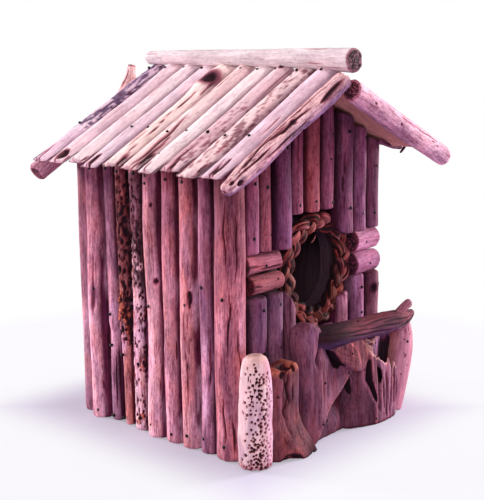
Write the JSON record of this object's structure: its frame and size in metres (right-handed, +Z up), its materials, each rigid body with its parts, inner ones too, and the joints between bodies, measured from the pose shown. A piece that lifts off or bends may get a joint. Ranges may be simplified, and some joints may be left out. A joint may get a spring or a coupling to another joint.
{
  "type": "driftwood birdhouse",
  "caption": "Free-standing birdhouse: hollow box clad in round driftwood sticks, stick roof, braided entrance ring, perch branch and wood blocks.",
  "frame": {"origin": "on the ground, at the middle of the underside of the floor board", "axes": "+Z up, the front wall with the entrance faces -Y, the ridge runs along Y and +X is to the right seen from the front"},
  "size_m": [0.2263, 0.21, 0.2574],
  "materials": {
    "board_wood": "matt, thin smooth board",
    "bleached_driftwood": "matt, sun-bleached round sticks",
    "rake_driftwood": "matt, fissured round sticks",
    "wall_driftwood": "matt, stained round sticks",
    "front_driftwood": "matt, stained round sticks",
    "log_driftwood": "matt, short round logs",
    "braided_fibre": "dry braided plant fibre",
    "pale_driftwood": "matt, pale wood with worm holes",
    "block_driftwood": "matt, weathered and gouged wood",
    "nail_steel": "small dark rusted nail heads"
  },
  "bodies": {
    "root": {"floor_board": "board_wood", "front_board": "board_wood", "back_board": "board_wood", "left_board": "board_wood", "right_board": "board_wood", "left_roof_board": "board_wood", "right_roof_board": "board_wood", "left_wall_sticks": "wall_driftwood", "right_wall_sticks": "wall_driftwood", "back_wall_sticks": "wall_driftwood", "corner_stick": "wall_driftwood", "front_upper_left_sticks": "front_driftwood", "front_upper_middle_sticks": "front_driftwood", "front_upper_right_sticks": "front_driftwood", "front_lower_left_sticks": "front_driftwood", "front_lower_middle_sticks": "front_driftwood", "front_lower_right_sticks": "front_driftwood", "left_upper_log": "log_driftwood", "left_lower_log": "log_driftwood", "right_upper_log": "log_driftwood", "right_lower_log": "log_driftwood", "left_roof_sticks": "bleached_driftwood", "right_roof_sticks": "bleached_driftwood", "front_left_rake": "rake_driftwood", "front_right_rake": "rake_driftwood", "back_left_rake": "rake_driftwood", "back_right_rake": "rake_driftwood", "ridge_log": "bleached_driftwood", "braid_ring": "braided_fibre", "perch_branch": "block_driftwood", "pale_block": "pale_driftwood", "flared_block": "block_driftwood", "forked_block": "block_driftwood", "gouged_block": "block_driftwood", "upright_block": "pale_driftwood"}
  },
  "joints": []
}
